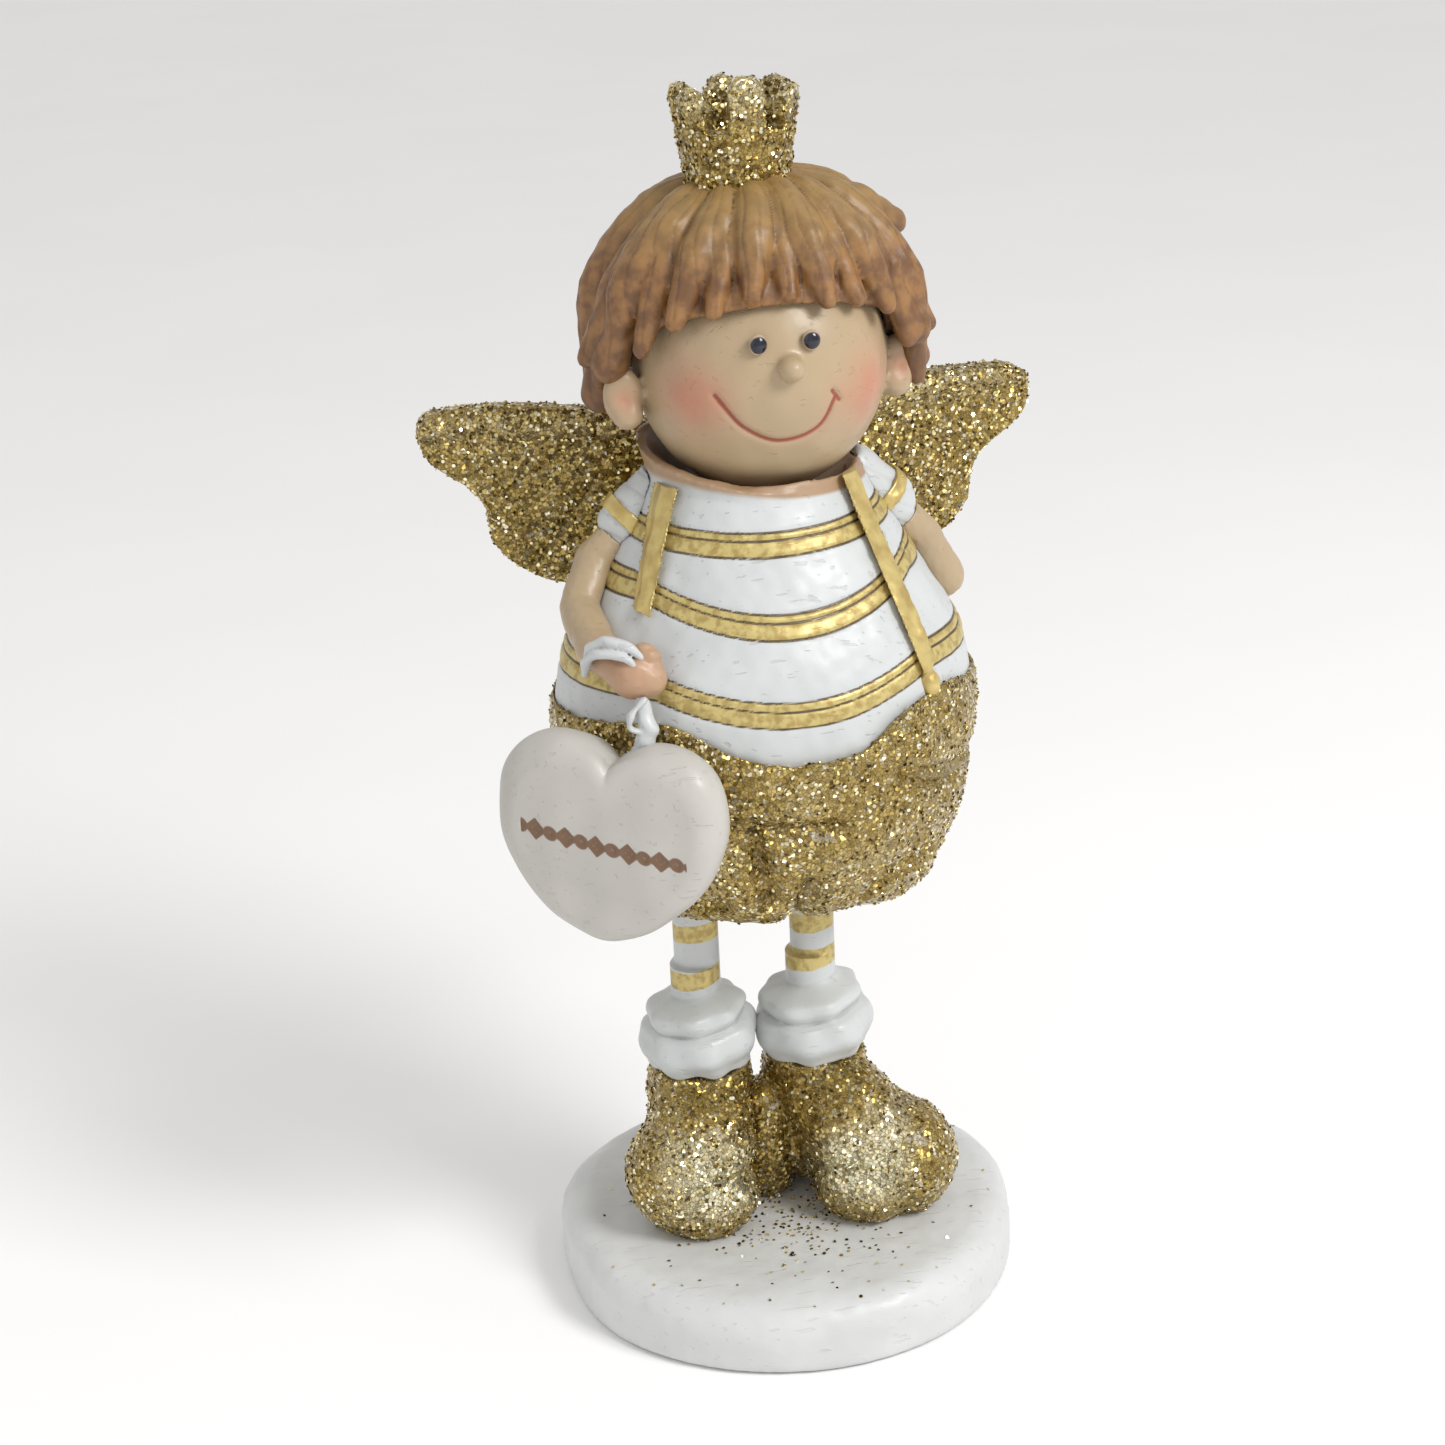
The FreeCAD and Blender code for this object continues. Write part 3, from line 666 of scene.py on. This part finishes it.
def shirt():
    """The shirt and the neck's cup as one skin: curved engraved stripes, and skin paint at the neckline,
    darker as painted shade under the head.
    """
    obj = clay("shirt_cast", [node_shell("shirt"), node_shell("neck_collar")], voxel=0.25, smooth=5)
    p, _ = skin_of(obj)
    away, line = np.full(len(p), 1e3), np.full(len(p), 1e3)
    for drop, rise, width in STRIPES:
        above = p[:, 2] - (high("shirt")[2] - drop + rise * np.clip(p[:, 0], -13, 13) ** 2)
        away = np.minimum(away, np.abs(above) - width / 2)
        edges, groove = np.abs(np.abs(above) - width / 2), np.abs(above - 0.35)
        line = np.minimum(line, np.minimum(edges, groove))
    outside = np.hypot(p[:, 0], p[:, 1]) > 8.5
    soft = 0.16 * lumps(p, 10, 31) + 0.05 * lumps(p, 2.5, 32)
    push(obj, outside * (soft - 0.16 * bump(line, 0.16) + 0.06 * (away < 0)))
    mark(obj, "stripe", np.where(outside, away, 1.0))
    mark(obj, "line", np.where(outside, line, 1.0))
    from_head = np.linalg.norm((p - HEAD_MID) / COLLAR_REACH, axis=1)
    # where the skin paint and the painted shade under the head go: the cup's inner face and rim
    mark(obj, "inside", 10 * (from_head - 1.13))
    done(obj, "figure", "striped_shirt", PAINT["shirt"], "shirt", "neck_collar")


def strap(side, seed):
    """A painted brace, slightly wavy; the left one ends in its clip."""
    node = f"{side}_suspender"
    shells = [node_shell(node)]
    nodes = [node]
    if side == "left":
        shells.append(ball(middle("left_suspender_clip") + (0, 0.3, -0.4), (1.2, 0.9, 1.6)))
        nodes.append("left_suspender_clip")
    obj = clay(f"{node}_strap", shells, voxel=0.16, smooth=5)
    p, _ = skin_of(obj)
    slimmer = 0.17
    push(obj, 0.06 * lumps(p, 1.8, seed) + 0.06 * np.sin(p[:, 2] * 0.9 + p[:, 0]) - slimmer)
    done(obj, "figure", "gold_paint", PAINT["gold"], *nodes)


# ---------------------------------------------------------------- arms, hands, ribbon, heart

def fingers(side):
    """Four short fingers and a thumb that curl over from the hand's middle."""
    centre = middle(f"{side}_hand")
    curl = np.array((1, 1, 1) if side == "right" else (-1, -1, 1))
    shells = []
    for i in range(4):
        step = (i - 1.5) * 0.95
        path = [centre + curl * (0.2, -0.5, step + 0.3), centre + curl * (1.5, -1.35, step + 0.45),
                centre + curl * (2.35, -0.55, step + 0.1)]
        shells.append(tube(path, [0.65, 0.62, 0.5], sides=10))
    thumb = [centre + (0, 0, 1.2), centre + curl * (0.9, -0.7, 2.35), centre + curl * (1.9, -0.6, 2.1)]
    return shells + [tube(thumb, [0.75, 0.7, 0.52], sides=10)]


def arm(side, seed):
    nodes = [f"{side}_arm", f"{side}_hand"]
    obj = clay(f"{side}_arm_cast", [node_shell(n) for n in nodes] + fingers(side), voxel=0.16, smooth=5)
    p, _ = skin_of(obj)
    push(obj, 0.10 * lumps(p, 5, seed) + 0.03 * lumps(p, 1.2, seed + 1))
    from_hand = np.linalg.norm(p - (middle(f"{side}_hand") - AXIS), axis=1)
    mark(obj, "blush", bump(from_hand, 3.4))
    done(obj, "figure", "skin", PAINT["skin"], *nodes)


def sleeve(side, seed):
    """A rumpled short sleeve and the gold band round it."""
    obj = clay(f"{side}_sleeve_cast", [node_shell(f"{side}_sleeve")], voxel=0.2, smooth=5)
    p, _ = skin_of(obj)
    push(obj, 0.12 * lumps(p, 3, seed) - 0.10 * bump(np.sin(p[:, 2] * 1.7 + p[:, 0]), 0.25))
    done(obj, "figure", "white_paint", PAINT["white"], f"{side}_sleeve")
    band = clay(f"{side}_sleeve_trim", [node_shell(f"{side}_sleeve_band")], voxel=0.15, smooth=3)
    p, _ = skin_of(band)
    push(band, 0.07 * lumps(p, 1.5, seed + 1))
    done(band, "figure", "gold_paint", PAINT["gold"], f"{side}_sleeve_band")


def ribbon():
    """Two turns of ribbon over the wrist and a curled tail down to the heart."""
    c = middle("ribbon_loop")
    tail = spot("ribbon_tail", 0.5, 0.4, 0.9)
    loop = [c + (1.6, -2.2, 1.4), c + (0.6, -2.3, 2.5), c + (-1.2, -1.4, 2.9), c + (-2.5, 0.2, 1.9),
            c + (-2.6, 1.4, 0.1)]
    second = [point + (-0.5, -0.35, -0.95) for point in loop]
    curl = [tail + (0.2, 0, 0.6), tail + (-1.1, -0.3, -0.6), tail + (-1.3, -0.2, -1.9),
            tail + (0, -0.1, -2.6)]
    shells = [node_shell("ribbon_tail"), tube(loop, [0.45, 0.8, 0.75, 0.5], flat=0.7),
              tube(second, [0.4, 0.65, 0.6, 0.4], flat=0.7), tube(curl, [0.45, 0.55, 0.45], flat=0.6)]
    obj = clay("ribbon_cast", shells, voxel=0.15, smooth=4)
    p, _ = skin_of(obj)
    push(obj, 0.07 * np.sin(p[:, 2] * 3.2 + p[:, 0] * 2.1))
    done(obj, "figure", "white_paint", PAINT["white"], "ribbon_loop", "ribbon_tail")


def heart():
    """A domed heart with a plain row of dots and diamonds sunk into its face."""
    obj = clay("heart_cast", [node_shell("heart")], voxel=0.22, smooth=10)
    p, _ = skin_of(obj)
    c = middle("heart") - AXIS
    turn = math.radians(-30)
    across = np.array((math.cos(turn), math.sin(turn), 0))
    face = np.array((math.sin(turn), -math.cos(turn), 0))
    u, w, depth = (p - c) @ across, p[:, 2] - c[2], (p - c) @ face
    front = np.clip((depth - 1.2) / 0.8, 0, 1)
    dome = 0.8 * np.clip(1 - (u / 11) ** 2 - (w / 10) ** 2, 0, 1)
    pitch, sunk = 3.0, 0.14
    row = w + 0.19 * u - 0.4
    diamond = np.abs((u + 2.0) % pitch - pitch / 2) + np.abs(row) - 0.8
    dot = np.hypot((u + 0.5) % pitch - pitch / 2, row) - 0.42
    ornament = np.where((np.abs(u) < 8.0) & (front > 0.4), np.minimum(diamond, dot), 1.0)
    push(obj, front * dome + 0.10 * lumps(p, 6, 41) - sunk * np.clip(-ornament / 0.25, 0, 1))
    mark(obj, "ornament", ornament)
    done(obj, "figure", "heart_paint", PAINT["heart"], "heart")


# ---------------------------------------------------------------- wings

def wing(side, seed):
    """A flat cast wing: a raised arm along the top edge, and feathers that fan out below it."""
    node = f"{side}_wing"
    sign = -1 if side == "right" else 1
    obj = clay(f"{node}_cast", [node_shell(node)], voxel=0.28, smooth=6)
    p, normal = skin_of(obj)
    root = np.array((sign * 8.0, PIVOT[2] + 8.7))
    flat = p[:, (0, 2)] - root
    reach = np.linalg.norm(flat, axis=1)
    angle = np.arctan2(-flat[:, 1], sign * flat[:, 0])
    flatness = np.abs(normal[:, 1])
    feathers = -0.26 * bump(np.sin(angle * 8.5 + 0.05 * reach), 0.20) * np.clip((reach - 7) / 6, 0, 1)
    top_edge = PIVOT[2] + 3.8 + 0.04 * np.abs(p[:, 0])
    ridge = 0.75 * bump(p[:, 2] - top_edge, 1.3)
    push(obj, flatness * (feathers + ridge) + 0.05 * lumps(p, 2.4, seed))
    mark(obj, "pale", np.clip(0.15 * bump(p[:, 2] - top_edge, 1.4), 0, 1))
    done(obj, "figure", "gold_glitter", PAINT["glitter"], node)
    flakes(f"{node}_flakes", obj, 2600, seed + 1, "figure")


# ---------------------------------------------------------------- head, face, hair, crown

SMILE = [(-6.3, -2.9), (-4.3, -5.4), (-1.1, -7.0), (2.6, -6.1), (4.4, -3.3)]   # across and up from the nose
CHEEKS = [(-8.8, -8.6, -2.9), (8.0, -8.0, -3.5)]                                # from the FACE point
EYE_R = np.array((0.85, 0.62, 0.95))


def head():
    """Head, nose and cupped ears as one skin, with puffed cheeks and an engraved smile."""
    ears = ("right_ear", "left_ear")
    shells = [node_shell(n) for n in ("head", "nose") + ears]
    shells += [ball(middle(n) + (0, 0, 0.9), (1.9, 1.35, 2.7)) for n in ears]
    obj = clay("head_cast", shells, voxel=0.22, smooth=5)
    p, _ = skin_of(obj)
    off_face = 9.0
    facing = p[:, 1] < -4
    flat = (p - FACE)[:, (0, 2)]
    smile = np.where(facing, to_line(flat, curve_points(SMILE, 6)), off_face)
    for x, z in (SMILE[0], SMILE[-1]):
        corner = to_line(flat, [(x - 0.35, z + 0.6), (x + 0.35, z - 0.4)])
        smile = np.minimum(smile, np.where(facing, corner, off_face))
    from_cheeks = [np.linalg.norm(p - FACE - c, axis=1) for c in CHEEKS]
    bowls = sum(bump(np.linalg.norm(p - (middle(n) - AXIS - (0, 1.4, -0.8)), axis=1), 1.25) for n in ears)
    puffs = sum(bump(d, 3.4) for d in from_cheeks)
    push(obj, 0.30 * puffs - 0.26 * bump(smile, 0.27) - 0.75 * bowls + 0.05 * lumps(p, 4, 51))
    mark(obj, "smile", smile)
    blush = sum(bump(d, 3.3) for d in from_cheeks) + 0.8 * bowls
    mark(obj, "blush", np.clip(0.80 * blush + 0.12 * bump(smile, 1.2), 0, 1))
    done(obj, "head_body", "face_paint", PAINT["face"], "head", "nose", *ears)


def eyes():
    """Glossy domes, each in a thin pale rim that is a painted highlight."""
    lo, hi = low("eyes"), high("eyes")
    height = (lo[2] + hi[2]) / 2
    places = [(x, lo[1] + EYE_R[1], height) for x in (lo[0] + EYE_R[0], hi[0] - EYE_R[0])]
    obj = clay("eye_domes", [ball(c, EYE_R) for c in places], voxel=0.07, smooth=3)
    p, _ = skin_of(obj)
    across = np.where(p[:, 0] < (lo[0] + hi[0]) / 2, places[0][0], places[1][0])
    out = np.hypot(p[:, 0] - across, p[:, 2] - height)
    # the pale rim is a painted highlight at the dome's edge
    mark(obj, "rim", np.clip((out - 0.72) / 0.12, 0, 1) * 0.8)
    done(obj, "head_body", "eye_gloss", PAINT["eye"], "eyes")


def hair_bell():
    """The middle and radii of the ellipsoid that the hair's cap follows."""
    lo, hi = low("hair_cap"), high("hair_cap")
    depth = 16.4
    centre = np.array(((lo[0] + hi[0]) / 2, (lo[1] + hi[1]) / 2, hi[2] - depth))
    return centre, np.array(((hi[0] - lo[0]) / 2, (hi[1] - lo[1]) / 2, depth))


def on_hair(turn, drop, lift):
    """A point over the bell of hair, in degrees round from the front and down from the top."""
    centre, radii = hair_bell()
    a, d = math.radians(turn), math.radians(drop)
    return centre + (radii + lift) * (math.sin(d) * math.sin(a), -math.sin(d) * math.cos(a), math.cos(d))


def locks():
    """Thick locks all round that part at the crown and sweep aside; every other one is fuller."""
    rng = np.random.default_rng(61)
    shells = []
    for count, turn in enumerate(np.arange(-172, 180, 14.6)):
        across, full = abs(turn), 1 + 0.3 * (count % 2)
        end = 66 if across < 30 else 70 if across < 52 else 83 if across < 76 else 97
        end += rng.uniform(-4, 4)
        sweep = 13 * np.clip(turn / 30, -1, 1) * (across < 90) + rng.uniform(-3, 3)
        width = rng.uniform(0.86, 1.1)
        root_lift = 0.5 + 1.2 * (full - 1)
        path = [on_hair(turn - sweep * (1 - s), 10 + (end - 10) * s,
                        root_lift + 0.9 * s * s + 0.4 * math.sin(3 * s)) for s in (0, 0.3, 0.65, 1)]
        shells.append(tube(path, [0.75, 1.35 * width * full, 1.65 * width * full, 0.85]))
    return shells


# loose tufts that stand off the cap: turn, start and end in degrees, thickness, lift of the tip
TUFTS = [(92, 26, 56, 2.0, 2.6), (-62, 24, 58, 2.2, 1.6), (-30, 24, 52, 1.9, 0.9), (24, 26, 54, 1.9, 0.9),
         (58, 30, 62, 1.8, 1.2), (-84, 46, 86, 1.7, 1.8), (78, 50, 84, 1.6, 1.8)]


def tufts():
    shells = []
    for turn, start, end, size, lift in TUFTS:
        path = [on_hair(turn * (0.8 + 0.2 * s), start + (end - start) * s, 0.9 + lift * s * s)
                for s in (0, 0.5, 1)]
        shells.append(tube(path, [size * 0.55, size, size * 0.62]))
    return shells


def hair():
    """The cap, lifted a little over the forehead, under the locks and tufts."""
    top = high("hair_cap")[2]
    sides_and_back = ["hair_right_locks", "hair_left_locks", "hair_back_locks"]
    cap, faces = node_shell("hair_cap")
    front = np.clip((AXIS[1] + 1 - cap[:, 1]) / 6, 0, 1)
    cap[:, 2] += 1.3 * front * np.clip((top - 5.2 - cap[:, 2]) / 4, 0, 1)
    shells = [(cap, faces)] + [node_shell(n) for n in sides_and_back]
    obj = clay("hair_cast", shells + locks() + tufts(), voxel=0.22, smooth=4)
    p, _ = skin_of(obj)
    centre, radii = hair_bell()
    around = np.arctan2(p[:, 0] - centre[0], -(p[:, 1] + AXIS[1] - centre[1]))
    strands = bump(np.sin(around * 26 + 0.9 * lumps(p, 9, 62) + 0.12 * p[:, 2]), 0.2)
    push(obj, -0.10 * strands + 0.06 * lumps(p, 2.5, 63))
    reach = np.linalg.norm((p - (centre - AXIS)) / radii, axis=1)
    below_top = top - p[:, 2]
    deep_shade = np.clip((1.06 - reach) / 0.05, 0, 1) * np.clip((below_top - 1.2) / 4, 0, 1)
    # painted shade: darker between strands and where the hair sinks inside its bell
    mark(obj, "groove", np.maximum(0.35 * strands, 0.85 * deep_shade))
    # where the painted highlight goes: the top of the hair
    mark(obj, "crown", np.clip((6.7 - below_top) / 6, 0, 1))
    mark(obj, "tips", np.clip((below_top - 11.2) / 9, 0, 1))
    done(obj, "head_body", "hair_paint", PAINT["hair"], "hair_cap", "hair_fringe", *sides_and_back,
         "hair_top_tufts")


def crown():
    """The glittered crown, paler towards its points."""
    obj = clay("crown_cast", [node_shell("crown")], voxel=0.2, smooth=4)
    p, _ = skin_of(obj)
    push(obj, 0.12 * lumps(p, 2.8, 71) + 0.06 * lumps(p, 1.1, 72))
    mark(obj, "pale", np.clip((p[:, 2] - low("crown")[2] - 5.8) / 8, 0, 0.4))
    done(obj, "head_body", "gold_glitter", PAINT["glitter"], "crown")
    flakes("crown_flakes", obj, 2300, 73, "head_body")


def spring():
    """Two halves of one close-wound coil, split at the pivot's height."""
    lo, hi = low("neck_spring"), high("neck_spring")
    wire, pitch, steps = 0.3, 0.72, 20      # wire radius, rise and points of one turn
    radius = (hi[0] - lo[0]) / 2 - wire
    x, y = (lo[:2] + hi[:2]) / 2
    bottom, half = lo[2] + wire, PIVOT[2]
    per_step = pitch / steps
    count = int((hi[2] - wire - bottom) / per_step)
    turns = [2 * math.pi * i / steps for i in range(count + 1)]
    coil = [(x + radius * math.cos(a), y + radius * math.sin(a), bottom + per_step * i)
            for i, a in enumerate(turns)]
    split = int((half - bottom) / per_step)
    stretches = (("spring_lower", coil[:split + 1], "figure", "spring_body", high("spring_peg")[2], half),
                 ("spring_upper", coil[split:], "spring_body", "plug_body", half, low("head_plug")[2]))
    for name, points, below, above, start, end in stretches:
        obj = make_mesh(name, [tube(points, [wire, wire], sides=8, steps=1)])
        obj.data.shade_smooth()
        obj.data.materials.append(PAINT["steel"])
        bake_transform(obj)
        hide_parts("neck_spring")


def pegs():
    """The two pegs keep their CAD shapes."""
    for node in ("spring_peg", "head_plug"):
        mesh = frame["nodes"][node].data
        mesh.materials.clear()
        mesh.materials.append(PAINT["peg"])


# ---------------------------------------------------------------- camera, floor and light

def camera():
    """A long lens in front of the figure's right shoulder, a little above it and rolled slightly."""
    around, above, roll = math.radians(-12), math.radians(20), math.radians(2.5)
    off_right, off_up = math.radians(0.786), math.radians(0.416)    # the figure isn't quite centred
    distance = 0.300
    aim = Vector((0, AXIS[1], 60.0)) * MM
    back = Vector((math.sin(around) * math.cos(above), -math.cos(around) * math.cos(above), math.sin(above)))
    right = (-back).cross(Vector((0, 0, 1))).normalized()
    up = right.cross(-back)
    x_axis = math.cos(roll) * right - math.sin(roll) * up
    y_axis = math.sin(roll) * right + math.cos(roll) * up
    level = Matrix((x_axis, y_axis, back))
    aside = Vector((math.tan(off_right), math.tan(off_up), -1))
    turn = Vector((0, 0, -1)).rotation_difference(aside).to_matrix()
    data = bpy.data.cameras.new("camera")
    data.sensor_width, data.lens, data.clip_start = 36.0, 77.17, 0.001
    obj = bpy.data.objects.new("camera", data)
    bpy.context.scene.collection.objects.link(obj)
    obj.matrix_world = Matrix.Translation(aim + back * distance) @ (turn @ level).transposed().to_4x4()
    bpy.context.scene.camera = obj


def area_light(name, place, power, size):
    """A square light aimed at the middle of the figure's height."""
    light = bpy.data.lights.new(name, "AREA")
    light.energy, light.size = power, size
    obj = bpy.data.objects.new(name, light)
    bpy.context.scene.collection.objects.link(obj)
    obj.location = place
    target = Vector((0, 0, HEIGHT * MM / 2))
    obj.rotation_euler = (target - Vector(place)).to_track_quat("-Z", "Y").to_euler()


def studio():
    """A pale sky, a key light high on the figure's left, a weak fill and a paper floor."""
    scene = bpy.context.scene
    scene.view_settings.view_transform = "Standard"
    world = bpy.data.worlds.new("studio")
    scene.world = world
    world.use_nodes = True
    sky = world.node_tree.nodes["Background"]
    sky.inputs["Color"].default_value = (1.0, 0.99, 0.98, 1)
    sky.inputs["Strength"].default_value = 0.72
    area_light("key", (0.26, -0.30, 0.38), 1.75, 0.18)
    area_light("fill", (-0.40, -0.25, 0.20), 0.15, 0.35)
    floor = bpy.data.meshes.new("floor")
    half = 3.0
    floor.from_pydata([(-half, -half, 0), (half, -half, 0), (half, half, 0), (-half, half, 0)],
                      [], [(0, 1, 2, 3)])
    obj = bpy.data.objects.new("floor", floor)
    scene.collection.objects.link(obj)
    g = Graph("floor_paper", 0.8)
    g.set("Base Color", g.mix(g.ramp(g.noise(60.0), 0.3, 0.7), PAPER, PAPER_SHADE))
    floor.materials.append(g.material)


camera()
studio()
plate()
shoe("right", 11)
shoe("left", 15)
sock_cuff("right", 4)
sock_cuff("left", 7)
shorts()
shirt()
strap("right", 34)
strap("left", 35)
arm("right", 91)
sleeve("right", 93)
arm("left", 95)
sleeve("left", 97)
ribbon()
heart()
wing("right", 43)
wing("left", 46)
spring()
pegs()
head()
eyes()
hair()
crown()
